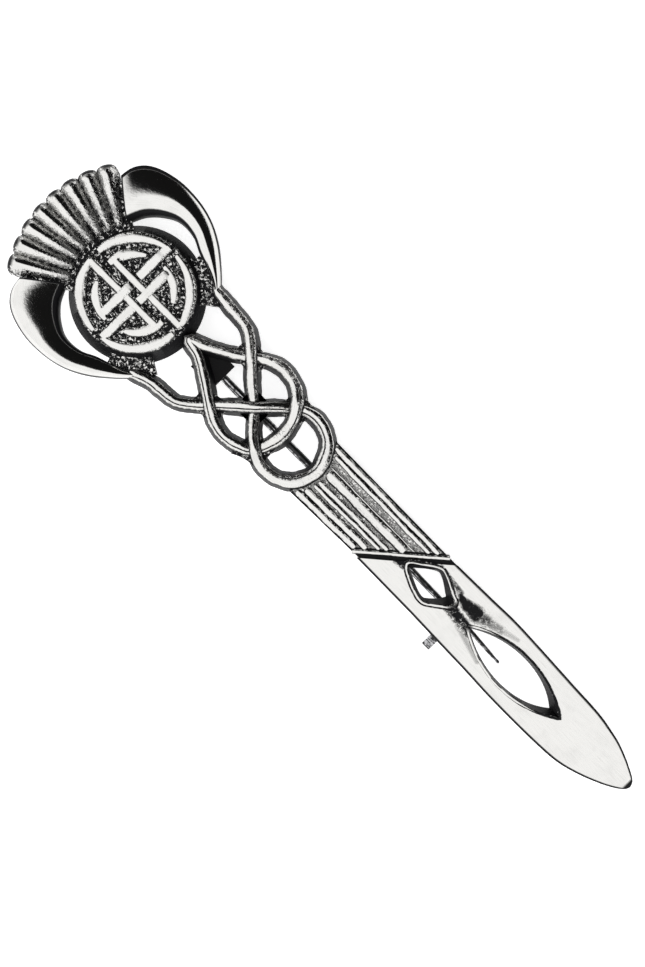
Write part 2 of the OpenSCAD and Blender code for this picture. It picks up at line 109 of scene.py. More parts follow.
# The blade's edge from the groove to the tip
# [share of the way from the start to the tip, upper and lower edge as shares of the half width]
BLADE = [
    [0, 0.970, -0.898], [0.168, 0.990, -0.937], [0.283, 1.012, -0.963], [0.396, 0.980, -1.003],
    [0.51, 0.933, -1.015], [0.612, 0.889, -1.008], [0.694, 0.862, -0.985], [0.748, 0.826, -0.942],
    [0.799, 0.756, -0.850], [0.855, 0.657, -0.707], [0.912, 0.491, -0.522], [0.946, 0.365, -0.387],
    [0.969, 0.274, -0.278], [0.983, 0.210, -0.200], [0.994, 0.140, -0.130], [1, 0.050, -0.050],
]

# The panel's raised ribs, from one edge to the other
# [lower side and upper side as shares of the panel's half width, share of its thickness above the web]
PANEL_RIBS = [
    [-0.830, -0.645, 1], [-0.615, -0.425, 1], [-0.330, -0.205, 1], [-0.180, -0.030, 0.8], [0.090, 0.360, 1],
    [0.390, 0.430, 0.6], [0.630, 0.775, 0.9], [0.800, 0.970, 1],
]
PANEL_EDGES = (-0.88, 1.02)

# The diamond opening's outline: [share of its length, share of its width]
DIAMOND = [
    [0, -0.065], [0.28, -0.36], [0.54, -0.5], [0.7, -0.4], [1, 0.05], [0.82, 0.25], [0.56, 0.47],
    [0.42, 0.48], [0.2, 0.24],
]

# Sections across a raised band, from its right foot to its left one
# [share of the half width, share of the height, how black the place is, how coarse it is]
CORD_SECTION = [
    [-1, 0, 1, 0.1], [-1, 0.35, 1, 0.1], [-1, 0.7, 1, 0.1], [-0.98, 0.84, 0.8, 0.2],
    [-0.9, 0.915, 0.3, 0.3], [-0.72, 0.965, 0.1, 0.2], [-0.4, 0.995, 0, 0.1], [0, 1, 0, 0],
    [0.3, 0.985, 0.05, 0.2], [0.4, 0.94, 0.9, 0.4], [0.5, 0.935, 0.9, 0.4], [0.6, 0.96, 0.2, 0.3],
    [0.82, 0.93, 0.3, 0.4], [0.96, 0.87, 0.7, 0.3], [1, 0.78, 1, 0.1], [1, 0.4, 1, 0.1], [1, 0, 1, 0.1],
]
BAND_SECTION = [
    [-1, 0, 1, 0.2], [-1, 0.5, 1, 0.2], [-1, 0.8, 1, 0.3], [-0.96, 0.92, 0.7, 0.6],
    [-0.84, 0.975, 0.15, 0.4], [-0.55, 0.997, 0, 0.03], [0, 1, 0, 0], [0.55, 0.997, 0, 0.03],
    [0.84, 0.975, 0.15, 0.4], [0.96, 0.92, 0.7, 0.6], [1, 0.8, 1, 0.3], [1, 0.5, 1, 0.2], [1, 0, 1, 0.2],
]
FLAT_SECTION = [
    [-1.2, 0, 1, 0.1], [-1.2, 0.72, 1, 0.3], [-1, 0.74, 1, 0.1], [-0.98, 0.93, 0.7, 0.2],
    [-0.88, 0.99, 0.1, 0.2], [-0.4, 1, 0, 0.05], [0.1, 1.005, 0, 0], [0.6, 1, 0, 0.05],
    [0.9, 0.985, 0.1, 0.2], [0.98, 0.92, 0.7, 0.2], [1, 0.74, 1, 0.1], [1.2, 0.72, 1, 0.3],
    [1.2, 0, 1, 0.1],
]
# A rib's one flank is blacker and coarser than the other: partly coarse blackening, partly painted shade on
# the side turned from the light
RIB_SECTION = [
    [-1, 0, 1, 1], [-1, 0.44, 0.9, 1], [-0.97, 0.56, 0.6, 1], [-0.88, 0.7, 0.25, 0.6],
    [-0.72, 0.83, 0.1, 0.4], [-0.5, 0.93, 0, 0.2], [-0.25, 0.985, 0, 0], [0, 1, 0, 0],
    [0.25, 0.985, 0, 0.1], [0.5, 0.93, 0.1, 0.4], [0.72, 0.83, 0.35, 0.8], [0.88, 0.7, 0.5, 1],
    [0.97, 0.56, 0.8, 1], [1, 0.44, 1, 1], [1, 0, 1, 1],
]
# Section of the black line round the openings: a painted shadow, with blackening
SHADOW_AND_BLACK_SECTION = [[-1, 0, 1, 0.1], [-1, 1, 0.9, 0.6], [0, 1, 1, 0.1], [1, 1, 0.9, 0.6], [1, 0, 1, 0.1]]

# Hollows pressed into the blade round its openings, and dark places there, from the neck's middle: the dark
# is partly blackening in the hollows, partly painted shade and shadow where a hollow or bevel lies in shade
# [start along and across, end along and across, radius at the start and at the end, depth (all in mm),
#  blackness, coarseness]
HOLLOWS = [
    [-2.1, 0.15, 2.2, -0.45, 0.70, 0.65, 0.09, 1.0, 0.5],
    [-1.9, 2.05, -0.4, 1.60, 0.25, 0.75, 0.06, 1.0, 0.2],
    [-1.4, 1.80, 1.2, 1.75, 0.45, 1.10, 0.05, 1.0, 0.3],
    [1.2, 1.75, 3.0, 2.05, 1.10, 0.90, 0.03, 0.62, 0.2],
    [3.0, 2.05, 5.0, 2.55, 0.90, 0.70, 0.02, 0.48, 0.1],
    [5.0, 2.55, 7.4, 3.15, 0.70, 0.40, 0.01, 0.38, 0.0],
    [16.4, -0.2, 17.9, -0.2, 0.95, 0.25, 0.0, 1.0, 0.3],
    [0.6, -1.0, 5.6, -2.50, 0.60, 0.50, 0.01, 0.42, 0.0],
    [-10.9, -0.4, -9.4, -0.4, 0.60, 0.35, 0.05, 1.0, 0.4],
    [-8.4, -0.9, -5.0, -2.2, 0.40, 0.30, 0.02, 0.6, 0.2],
    [-6.2, 2.9, -2.0, 2.3, 0.30, 0.40, 0.03, 0.65, 0.2],
]


# Slow errors of a hand: [share of the error, radians to a millimetre, share of the seed in the phase]
HAND = [[0.5, 0.7, 1], [0.3, 1.9, 2.3], [0.2, 4.3, 3.7]]

# Length at each end of an open band over which its errors start
EASE_LEN = 0.001
# Greatest error of a band's width, as a share of it
WIDTH_ERROR = 0.1

# Distance between the points of a cord's path, and of the diamond's outline
CORD_STEP = 0.0003
OUTLINE_STEP = 0.00025

# Millimetres in a metre
MM_PER_M = 1000


def metres(name, description, default):
    """A property that holds a length in metres."""
    return FloatProperty(name=name, description=description, default=default, unit="LENGTH")


class KiltPinSizes(bpy.types.PropertyGroup):
    """The casting's own sizes. Where it lies comes from the frame."""
    medallion_r: metres("Medallion radius", "Radius of the medallion's raised face", 0.0077)
    medallion_lean: metres("Medallion lean", "How far the medallion's wall leans out", 0.0005)
    wall_flare: metres("Wall flare", "How much farther the medallion's wall spreads below", 0.0007)
    leaf_depth: metres("Leaf depth", "From the medallion's wall to a leaf's widest edge", 0.00805)
    tuft_depth: metres("Tuft depth", "Reach of the tuft beyond the medallion's wall", 0.0088)
    tuft_groove: metres("Tuft groove", "Gap between the medallion and the ribs", 0.0005)
    tuft_spread: FloatProperty(name="Tuft spread", description="Half of the tuft's spread, in degrees",
                               default=35.5)
    rib_count: IntProperty(name="Ribs", description="Number of ribs in the tuft", default=8)
    band_w: metres("Band width", "Width of the medallion's bands", 0.00105)
    weave_offset: metres("Weave offset", "Straight bands' distance from the middle", 0.0011)
    inner_ring_r: metres("Inner ring radius", "Radius of the medallion's inner ring", 0.005)
    knot_span: metres("Knot length", "From the medallion's wall to the ring's far edge", 0.0252)
    knot_half: metres("Knot half height", "To the middle of the outer cord", 0.00705)
    knot_side: metres("Knot offset", "The knot's middle line above the object's", 0.0003)
    cord_w: metres("Cord width", "Width of the top of a cord", 0.00125)
    panel_len: metres("Panel length", "From the ring to the middle of the slanting groove", 0.0146)
    panel_half: metres("Panel half width", "At the ring", 0.0046)
    panel_end_half: metres("Panel end half width", "At the groove", 0.0043)
    ring_gap: metres("Ring gap", "Between the ring and the ribs", 0.0007)
    ring_arc_r: metres("Ring arc radius", "Arc on which the ribs start", 0.0067)
    groove_w: metres("Groove width", "Width of the slanting groove", 0.0012)
    groove_angle: FloatProperty(name="Groove angle", description="Angle to the object's length, in degrees",
                                default=40.6)
    line_w: metres("Line width", "Width of the raised line beside the groove", 0.0005)
    blade_len: metres("Blade length", "From the groove to the tip", 0.0412)
    blade_half: metres("Blade half width", "Half of the greatest width", 0.0046)
    diamond_gap: metres("Diamond gap", "From the groove to the diamond", 0.0009)
    diamond_len: metres("Diamond length", "At the face", 0.0079)
    diamond_w: metres("Diamond width", "At the face", 0.0046)
    neck_len: metres("Neck length", "Between the two openings", 0.0031)
    leaf_hole_len: metres("Leaf opening length", "At the face", 0.0166)
    leaf_hole_w: metres("Leaf opening width", "At the face", 0.0051)
    tail_bevel: metres("Tail bevel", "How much shorter the leaf opening is at the back", 0.0014)
    hole_lean: metres("Opening lean", "How far the leaf opening's walls lean in", 0.0003)
    diamond_lean: metres("Diamond lean", "How far the diamond's walls lean in", 0.00045)
    rim_above: IntProperty(name="Rim above", description="Points of the leaf opening's upper side with a rim",
                           default=14)
    rim_w: metres("Rim width", "Width of the raised rims", 0.0003)


class KiltPinRelief(bpy.types.PropertyGroup):
    """Thicknesses of the casting from its back, and how its sides lean."""
    web_h: metres("Web", "Recessed webs and floors", 0.0014)
    blade_h: metres("Blade", "Blade", 0.0018)
    panel_h: metres("Panel", "Top of the panel's ribs", 0.002)
    cord_h: metres("Cord", "Mean thickness of a cord", 0.0025)
    cord_lift: metres("Cord lift", "Rise over a crossing", 0.00045)
    leaf_h: metres("Leaf", "Crown of a leaf", 0.003)
    rib_h: metres("Tuft rib", "Outer end of a tuft rib", 0.0027)
    disc_h: metres("Medallion floor", "Under its knot", 0.0023)
    band_h: metres("Medallion band", "Top of the bands", 0.0029)
    rim_rise: metres("Rim rise", "Rims above the blade", 0.00025)
    draft: FloatProperty(name="Draft", description="How much a side leans out for its height", default=0.13)
    cord_draft: FloatProperty(name="Cord draft", description="The same for the sides of the cords",
                              default=0.21)


class KiltPinFinish(bpy.types.PropertyGroup):
    """Colours of the metals."""
    pewter: FloatVectorProperty(name="Polished pewter", description="Colour of the rubbed faces",
                                subtype="COLOR", default=(0.6, 0.595, 0.58))
    black: FloatVectorProperty(name="Blackened pewter", description="Colour of the low places",
                               subtype="COLOR", default=(0.012, 0.012, 0.013))
    steel: FloatVectorProperty(name="Plated steel", description="Colour of the hinge and the catch",
                               subtype="COLOR", default=(0.4, 0.4, 0.41))
    wire: FloatVectorProperty(name="Pin steel", description="Colour of the pin", subtype="COLOR",
                              default=(0.5, 0.5, 0.51))


def smooth(rows, steps, closed=False):
    """Points on a curve through every row. Between two rows it is the cubic whose slope at each row is half
    of the step from the row before to the row after."""
    rows = np.asarray(rows, float)
    count = len(rows)
    spans = count if closed else count - 1
    i = np.repeat(np.arange(spans), steps)
    t = np.tile(np.arange(steps) / steps, spans)[:, None]
    near = [i + step for step in (-1, 0, 1, 2)]
    a, b, c, d = (rows[k % count if closed else np.clip(k, 0, count - 1)] for k in near)
    curve = 0.5 * (2 * b + (c - a) * t + (2 * a - 5 * b + 4 * c - d) * t**2 + (3 * b - a - 3 * c + d) * t**3)
    return curve if closed else np.vstack([curve, rows[-1]])


def spaced(path, gap, closed=False):
    """The same path with its points at even steps of about gap, every column interpolated along it."""
    path = np.asarray(path, float)
    if closed:
        path = np.vstack([path, path[0]])
    run = np.concatenate([[0], np.cumsum(np.hypot(*np.diff(path[:, :2], axis=0).T))])
    count = max(int(round(run[-1] / gap)), 2)
    even = np.linspace(0, run[-1], count + 1)
    path = np.stack([np.interp(even, run, column) for column in path.T], 1)
    return path[:-1] if closed else path


def sideways(path, closed=False):
    """Unit vectors in the plane that point to the left of the path, a quarter turn from its direction."""
    if closed:
        way = np.roll(path[:, :2], -1, 0) - np.roll(path[:, :2], 1, 0)
    else:
        way = np.gradient(path[:, :2], axis=0)
    way /= np.linalg.norm(way, axis=1, keepdims=True)
    return np.stack([-way[:, 1], way[:, 0]], 1)


def hand_made(run, seed, size):
    """Small slow errors of a hand along a length: a sum of sines whose phases depend on the seed."""
    run = run * MM_PER_M
    return size * sum(share * np.sin(rate * run + phase * seed) for share, rate, phase in HAND)


def grid_faces(rows, columns, loop_rows=False, loop_columns=False):
    """Quads of a grid of points, numbered row by row, seen from the side where the columns run left."""
    i = np.arange(rows if loop_rows else rows - 1)[:, None]
    j = np.arange(columns if loop_columns else columns - 1)[None, :]
    i, j = np.broadcast_arrays(i, j)
    i2, j2 = (i + 1) % rows, (j + 1) % columns
    corners = [i * columns + j, i2 * columns + j, i2 * columns + j2, i * columns + j2]
    return np.stack(corners, -1).reshape(-1, 4)


def shell(name, points, faces, relief, grain, flow):
    """A closed mesh. Every corner carries how deep the black lies, how coarse the metal is, and a map that
    runs along and across the surface in millimetres."""
    mesh = bpy.data.meshes.new(name)
    mesh.from_pydata(points, [], faces)
    corners = np.zeros(len(mesh.loops), dtype=np.int32)
    mesh.loops.foreach_get("vertex_index", corners)
    for key, values in (("relief", relief), ("grain", grain)):
        layer = mesh.attributes.new(key, "FLOAT", "CORNER")
        layer.data.foreach_set("value", np.broadcast_to(values, len(points))[corners].astype(np.float32))
    layer = mesh.uv_layers.new(name="Flow")
    layer.data.foreach_set("uv", (flow * MM_PER_M)[corners].astype(np.float32).ravel())
    return bpy.data.objects.new(name, mesh)


def raised_band(name, path, section, draft, closed=False, seed=0.0, wander=0.00003, shade_at_end=0.0,
                stain_and_shade=0.0, dark_spot=None):
    """A band raised along a path of [x, y, half width of its top, height]. Its section is carried along
    square to the path, and its feet lean out by the draft times their depth below the top. It strays from
    the path by about wander, and its width varies too. Over the given length at its end it turns black, a
    painted shade on the band's end, and so does what is near the dark spot, an [x, y, radius]. The given
    stain, one for all or one for each point of the path, darkens the band and roughens it: staining, and
    painted shade where a caller gives it for that."""
    path = np.array(path, float)
    section = np.asarray(section, float)
    side = sideways(path, closed)
    step = np.hypot(*np.diff(path[:, :2], axis=0, append=path[:1, :2]).T)
    run = np.concatenate([[0], np.cumsum(step)[:-1]])
    ease = 1 if closed else np.clip(np.minimum(run, run[-1] - run) / EASE_LEN, 0, 1)
    sway = hand_made(run, seed, wander) * (np.sin(np.pi * run / run[-1]) if closed else ease)
    path[:, 2] *= 1 + hand_made(run * 1.7, seed + 2, WIDTH_ERROR) * ease
    off = section[:, 0] * (path[:, 2:3] + (1 - section[:, 1]) * path[:, 3:4] * draft) + sway[:, None]
    flat = path[:, None, :2] + side[:, None, :] * off[:, :, None]
    points = np.dstack([flat, section[:, 1] * path[:, 3:4]]).reshape(-1, 3)
    rows, columns = len(path), len(section)
    faces = grid_faces(rows, columns, closed, True).tolist()
    if not closed:
        faces += [list(range(columns)), list(range(rows * columns - 1, (rows - 1) * columns - 1, -1))]
    along = np.repeat(run, columns)
    flow = np.stack([along, off.reshape(-1)], 1)
    stain_and_shade = np.repeat(np.broadcast_to(stain_and_shade, rows), columns)
    black = np.clip(np.tile(section[:, 2], rows) + stain_and_shade, 0, 1)
    grain = np.clip(np.tile(section[:, 3], rows) + stain_and_shade, 0, 1)
    # Painted shade: the band's end turns black over the given length
    if shade_at_end:
        black = np.maximum(black, np.clip(1.2 - (run[-1] - along) / shade_at_end, 0, 1))
    if dark_spot is not None:
        away = np.hypot(points[:, 0] - dark_spot[0], points[:, 1] - dark_spot[1])
        black = np.maximum(black, np.clip(1.6 - away / dark_spot[2], 0, 1))
    return shell(name, points, faces, black, grain, flow)


def plate(name, outline, height, relief=1.0, grain=1.0, foot=0.0):
    """A flat plate: an outline, run round to the left, carried up from foot to height."""
    outline = np.asarray(outline, float)
    count = len(outline)
    low = np.column_stack([outline, np.full(count, foot)])
    high = np.column_stack([outline, np.full(count, height)])
    i = np.arange(count)
    j = (i + 1) % count
    faces = np.stack([i, j, j + count, i + count], 1).tolist()
    faces += [list(range(count - 1, -1, -1)), list(range(count, 2 * count))]
    points = np.vstack([low, high])
    return shell(name, points, faces, relief, grain, points[:, :2])


def turned(name, profile, relief, grain, sides):
    """A profile of [radius, height] from the back up, turned round the medallion's middle."""
    profile = np.asarray(profile, float)
    angle = np.arange(sides) * 2 * np.pi / sides
    ring = np.stack([np.cos(angle), np.sin(angle)], 1)
    flat = ring[None] * profile[:, None, :1]
    height = np.broadcast_to(profile[:, None, 1:], (len(profile), sides, 1))
    points = np.concatenate([flat, height], 2).reshape(-1, 3)
    faces = grid_faces(len(profile), sides, False, True)[:, ::-1].tolist()
    last = (len(profile) - 1) * sides
    faces += [list(range(sides - 1, -1, -1)), list(range(last, last + sides))]
    return shell(name, points, faces, np.repeat(relief, sides), np.repeat(grain, sides), points[:, :2])


def polar(radius, degrees):
    """Points at a radius and an angle from the blade's direction."""
    angle = np.radians(degrees)
    return np.stack([radius * np.cos(angle), radius * np.sin(angle)], -1)


def mirrored(obj):
    """A shell moved to the other side of the object's middle line, its faces turned back to face outwards."""
    mesh = obj.data
    points = np.zeros(len(mesh.vertices) * 3)
    mesh.vertices.foreach_get("co", points)
    points = points.reshape(-1, 3) * [1, -1, 1]
    mesh.vertices.foreach_set("co", points.ravel())
    mesh.flip_normals()
    return obj


def layout(sizes, relief):
    """Places along the object from the medallion's middle, and the outlines that several pieces share."""
    p = SimpleNamespace()
    p.wall_r = sizes.medallion_r + sizes.medallion_lean
    p.ring_end = p.wall_r + sizes.knot_span
    p.groove_x = p.ring_end + sizes.panel_len
    p.tip_x = p.groove_x + sizes.blade_len
    p.diamond_x = p.groove_x + sizes.diamond_gap
    p.leaf_hole_x = p.diamond_x + sizes.diamond_len + sizes.neck_len
    p.slope = 1 / np.tan(np.radians(sizes.groove_angle))
    p.half_groove = sizes.groove_w / 2 / np.sin(np.radians(sizes.groove_angle))
    p.line_run = sizes.line_w / np.sin(np.radians(sizes.groove_angle))
    p.ring_foot = LONG_CORD[-1][3] * sizes.cord_w / 2 + relief.cord_h * relief.draft
    p.slant = lambda y: p.groove_x + y * p.slope
    p.ring_side = lambda y: p.ring_end + sizes.ring_gap - (y - sizes.knot_side) ** 2 / 2 / sizes.ring_arc_r
    rows = np.array(LEAF)
    near = p.wall_r + rows[:, 2] * sizes.leaf_depth
    far = p.wall_r + rows[:, 1] * sizes.leaf_depth
    p.leaf = np.column_stack([rows[:, 0], near, far, rows[:, 3] * relief.leaf_h])
    p.leaf_end = polar((near[-1] + far[-1]) / 2, rows[-1, 0])
    p.leaf_root = polar((near[-2] + far[-2]) / 2, rows[-2, 0])
    return p


def cord_rows(table, p, sizes, relief):
    """Rows of [x, y, half width, height] from a cord's shares and levels."""
    table = np.array(table)
    return np.column_stack([
        p.wall_r + table[:, 0] * (sizes.knot_span - p.ring_foot),
        sizes.knot_side + table[:, 1] * sizes.knot_half,
        table[:, 3] * sizes.cord_w / 2,
        relief.cord_h + table[:, 2] * relief.cord_lift,
    ])


def knot_shells(p, sizes, relief):
    """The two cords of the open knot. The long one's second half is its first, turned over and run back,
    and its other end in the lower leaf has the same heights as the one in the upper leaf."""
    in_leaf = [*p.leaf_root, sizes.cord_w * 0.1, relief.cord_h * 0.4]
    at_leaf = [*p.leaf_end, sizes.cord_w * 0.42, relief.cord_h]
    first = np.vstack([in_leaf, at_leaf, cord_rows(LONG_CORD, p, sizes, relief)])
    second = first[-2::-1].copy()
    second[:, 1] = 2 * sizes.knot_side - second[:, 1]
    second[:, 3] = 2 * relief.cord_h - second[:, 3]
    second[-2:] = first[1::-1] * [1, -1, 1, 1]
    long_path = spaced(smooth(np.vstack([first, second]), 12), CORD_STEP)
    closed_path = spaced(smooth(cord_rows(CLOSED_CORD, p, sizes, relief), 12, True), CORD_STEP, True)
    shells = [
        raised_band("long_cord", long_path, CORD_SECTION, relief.cord_draft, seed=1.0),
        raised_band("closed_cord", closed_path, CORD_SECTION, relief.cord_draft, closed=True, seed=4.0),
    ]
    met = [*crossings(long_path, long_path), *crossings(long_path, closed_path)]
    reach, width, height = sizes.cord_w * 2.6, sizes.cord_w * 1.5, relief.cord_h * 0.62
    for i, (middle, u, v) in enumerate(met):
        shells.append(fillet(f"fillet_{i + 1}", middle, u, v, reach, width, height))
    return shells


def crossings(one, other):
    """Where two paths cross: the places, and the direction of each path there. Every step of one is tried
    with every step of the other, and two steps cross where both shares along them lie between nothing and
    one. Steps that are neighbours on the same path don't count."""
    a, b = one[:-1, :2], other[:-1, :2]
    u, v = np.diff(one[:, :2], axis=0), np.diff(other[:, :2], axis=0)
    gap = b[None] - a[:, None]
    turn = u[:, None, 0] * v[None, :, 1] - u[:, None, 1] * v[None, :, 0]
    least = 1e-15
    turn = np.where(np.abs(turn) < least, least, turn)
    s = (gap[..., 0] * v[None, :, 1] - gap[..., 1] * v[None, :, 0]) / turn
    t = (gap[..., 0] * u[:, None, 1] - gap[..., 1] * u[:, None, 0]) / turn
    i, j = np.nonzero((s >= 0) & (s < 1) & (t >= 0) & (t < 1))
    if one is other:
        apart = j > i + 3
        i, j = i[apart], j[apart]
    unit = [w / np.linalg.norm(w, axis=1, keepdims=True) for w in (u[i], v[j])]
    return zip(a[i] + s[i, j][:, None] * u[i], *unit)


def fillet(name, middle, u, v, reach, width, height):
    """A low plate in the four corners of a crossing. Its outline runs from one strand to the next as a
    curve of the second degree that is drawn towards the corner between them."""
    if u[0] * v[1] - u[1] * v[0] < 0:
        u, v = v, u
    arms = np.array([u, v, -u, -v])
    after = np.roll(arms, -1, 0)
    sine = abs(u[0] * v[1] - u[1] * v[0])
    corner = (arms + after) * (width / 2 / sine)
    t = np.linspace(0, 1, 12)[:-1][None, :, None]
    curve = (1 - t) ** 2 * arms[:, None] * reach + 2 * t * (1 - t) * corner[:, None]
    curve += t**2 * after[:, None] * reach
    return plate(name, middle + curve.reshape(-1, 2), height, relief=0.9, grain=0.5)


def leaf_shell(name, p, crest, end_crest, foot, flat_from):
    """A leaf as a grid of angle and share across. Beyond the crest, the height follows a quarter of an
    ellipse at the narrow end and falls as the square of the distance where the angle is well past
    flat_from; both end on an upright outer edge. Inside the crest it falls as the distance to the power
    1.6, to a steep inner edge. Towards the tuft the crest moves evenly to end_crest, and the inner part
    falls about twice as far. Both edges are black, the outer one from the share foot on: partly
    blackening, partly painted shade on their steep sides. The very end at the tuft is black too, a
    painted shadow of the tuft."""
    tuft_from, tuft_span, tuft_shadow_from = 115, 27, 141.4
    inner_fall, more_at_tuft, edge_height, outer_fall = 0.24, 0.26, 0.25, 0.42
    rows = smooth(p.leaf, 16)
    edge = 0.06
    inner = np.concatenate([[0, 0, 0.012, 0.03], np.linspace(edge, crest, 14)])
    outer = crest + (1 - crest) * np.sin(np.linspace(0, np.pi / 2, 26)[1:])
    share = np.concatenate([inner, outer, [1]])
    to_tuft = np.clip((rows[:, :1] - tuft_from) / tuft_span, 0, 1)
    top = crest + (end_crest - crest) * to_tuft
    fall = (inner_fall + more_at_tuft * to_tuft) * np.clip((top - share) / top, 0, 1) ** 1.6
    low = np.interp(share, [0, 0.012, 0.03, edge], [0.72, 0.4, 0.14, 0.0])
    beyond = np.clip((share - top) / (1 - top), 0, 1)
    flat = np.clip((rows[:, :1] - flat_from) / 25, 0, 1)
    round_side = edge_height + (1 - edge_height) * np.sqrt(1 - beyond**2)
    drop = (1 - flat) * round_side + flat * (1 - outer_fall * beyond**2)
    rise = np.where(share < top, 1 - fall - low * 0.35, drop)
    rise[:, [0, -1]] = 0
    near, far = rows[:, 1:2], rows[:, 2:3]
    height = rows[:, 3:4] * rise
    radius = near + (far - near) * share
    points = np.dstack([polar(radius, rows[:, :1]), height]).reshape(-1, 3)
    count = len(share)
    faces = grid_faces(len(rows), count, False, True).tolist()
    faces += [list(range(count)), list(range(len(rows) * count - 1, (len(rows) - 1) * count - 1, -1))]
    # Black edges: partly blackening, partly painted shade on the steep sides; the tuft end: painted shadow of
    # the tuft
    black = np.interp(share, [0, 0.1, 0.16, foot - 0.02, foot + 0.01, 1], [1, 0.9, 0, 0, 0.8, 1])
    black = np.maximum(black[None, :], np.clip((rows[:, :1] - tuft_shadow_from) / 0.6, 0, 1))
    along = np.radians(rows[:, :1]) * (near + far) / 2
    flow = np.dstack([np.repeat(along, count, 1), radius]).reshape(-1, 2)
    return shell(name, points, faces, black.ravel(), 0.02, flow)


def web(name, near, far, start, end, height, corner=4):
    """A plate between two radii and two angles whose ends are hollowed. Each end's angle goes outwards by a
    corner of 4 degrees times the square of the distance from the middle radius. At the far side of the
    start the corner is the given one."""
    full_corner, count = 4, 40
    across = np.linspace(-1, 1, 15)
    radius = (near + far) / 2 + (far - near) / 2 * across
    begin = start - np.where(across < 0, full_corner, corner) * across**2
    finish = end + full_corner * across**2
    outline = np.vstack([
        polar(far, np.linspace(begin[-1], finish[-1], count)), polar(radius, finish)[-2:0:-1],
        polar(near, np.linspace(finish[0], begin[0], count)), polar(radius, begin)[1:-1],
    ])
    return plate(name, outline, height)


def leaf_shells(p, sizes, relief):
    """Both leaves, and the coarse webs that join them to the medallion at the ends of their openings."""
    near = sizes.medallion_r
    blade_side = p.wall_r + sizes.leaf_depth * (LEAF[-1][2] + 0.08)
    tuft_side = p.wall_r + sizes.leaf_depth * 0.75
    start, end = LEAF[1][0] + 4, 181 - sizes.tuft_spread
    return [
        leaf_shell("upper_leaf", p, 0.42, 0.28, 0.92, 62),
        mirrored(leaf_shell("lower_leaf", p, 0.66, 0.85, 0.945, 180)),
        web("upper_blade_web", near, blade_side, 36, 76, relief.web_h, 0),
        mirrored(web("lower_blade_web", near, blade_side, 31, 68, relief.web_h, 0)),
        web("upper_tuft_web", near, tuft_side, start, end, relief.web_h),
        mirrored(web("lower_tuft_web", near, tuft_side, start, end, relief.web_h)),
    ]


def tuft_shells(p, sizes, relief):
    """The fan of ribs on its plate, each the same rib carried out from the medallion at its own angle. The
    ribs are stained at their roots; the upper side of the fan gets a little painted shade, and each rib's
    round end gets painted shade."""
    pitch = 2 * sizes.tuft_spread / sizes.rib_count
    tip = p.wall_r + sizes.tuft_depth
    half = np.radians(pitch) / 2
    end = tip - tip * half
    root = p.wall_r + sizes.tuft_groove
    rows = smooth(RIB, 10)
    place = np.where(rows[:, 0] < 1, root + rows[:, 0] * (end - root), end + (rows[:, 0] - 1) * (tip - end))
    height = rows[:, 2] * relief.rib_h
    width = np.minimum(place, end) * half * rows[:, 1] - height * relief.draft * 0.15
    start, finish = 180 - sizes.tuft_spread, 180 + sizes.tuft_spread
    angle = np.linspace(start, finish, max(int((finish - start) / 2), 3))
    outline = np.vstack([polar(end, angle), polar(sizes.medallion_r, angle[::-1])])
    shells = [plate("tuft_plate", outline, relief.web_h)]
    root_stain = 0.5 * np.clip(1 - rows[:, 0] / 0.8, 0, 1)
    for i in range(sizes.rib_count):
        angle = start + (i + 0.5) * pitch
        path = np.column_stack([polar(place, np.full(len(place), angle)), width, height])
        # Coarse staining at the roots, and painted shade growing towards the upper side of the fan
        stain_and_shade = 0.15 * (1 - i / (sizes.rib_count - 1)) + root_stain
        # Each rib's round end turns black over its last 1.1 mm: painted shade
        shells.append(raised_band(f"tuft_rib_{i + 1}", path, RIB_SECTION, relief.draft, seed=i * 1.7,
                                  shade_at_end=0.0011, stain_and_shade=stain_and_shade))
    return shells


def medallion_shells(p, sizes, relief):
    """The medallion: a turned disc, and four times a straight band that passes over the inner ring at one
    end and under it at the other, an arc of the outer ring that springs from it and an arc of the inner
    ring. The arcs thin out at both ends as the square root of a sine."""
    bevel = 0.0001
    profile = [
        [p.wall_r + sizes.wall_flare, 0], [sizes.medallion_r + bevel, relief.disc_h - bevel],
        [sizes.medallion_r, relief.disc_h],
    ]
    shells = [turned("medallion", profile, [1, 0.9, 1], [0.2, 0.2, 1], 144)]
    ring = sizes.inner_ring_r
    outer = sizes.medallion_r - sizes.band_w * 0.62
    top, over, under = relief.band_h, relief.band_h * 1.012, relief.band_h * 0.97
    straight = [
        [outer, top], [ring + sizes.band_w, top], [ring, over], [ring - sizes.band_w, top],
        [sizes.weave_offset, under], [0, top], [-sizes.weave_offset, over], [sizes.band_w - ring, top],
        [-ring, under],
    ]
    half = sizes.band_w * 0.6
    arc_half = half * 1.15
    bar = smooth([[-sizes.weave_offset, y, half, h] for y, h in straight], 8)
    start = 90 + np.degrees(np.arcsin(sizes.weave_offset / outer))
    arcs = []
    for radius, angles, height in (
        (outer, np.linspace(start, start + 78, 50), top),
        (ring, np.linspace(119, 177, 40), top * 0.98),
    ):
        ends = np.sin(np.pi * np.linspace(0.08, 0.92, len(angles))) ** 0.5
        arcs.append(np.column_stack([polar(radius, angles), arc_half * ends, np.full(len(angles), height)]))
    for quarter in range(4):
        turn = np.linalg.matrix_power(np.array([[0, 1], [-1, 0]]), quarter)
        for name, path in (("bar", bar), ("outer_arc", arcs[0]), ("inner_arc", arcs[1])):
            path = path.copy()
            path[:, :2] = path[:, :2] @ turn
            shells.append(raised_band(f"{name}_{quarter + 1}", path, BAND_SECTION, relief.draft,
                                      seed=quarter * 2.1 + len(path)))
    return shells


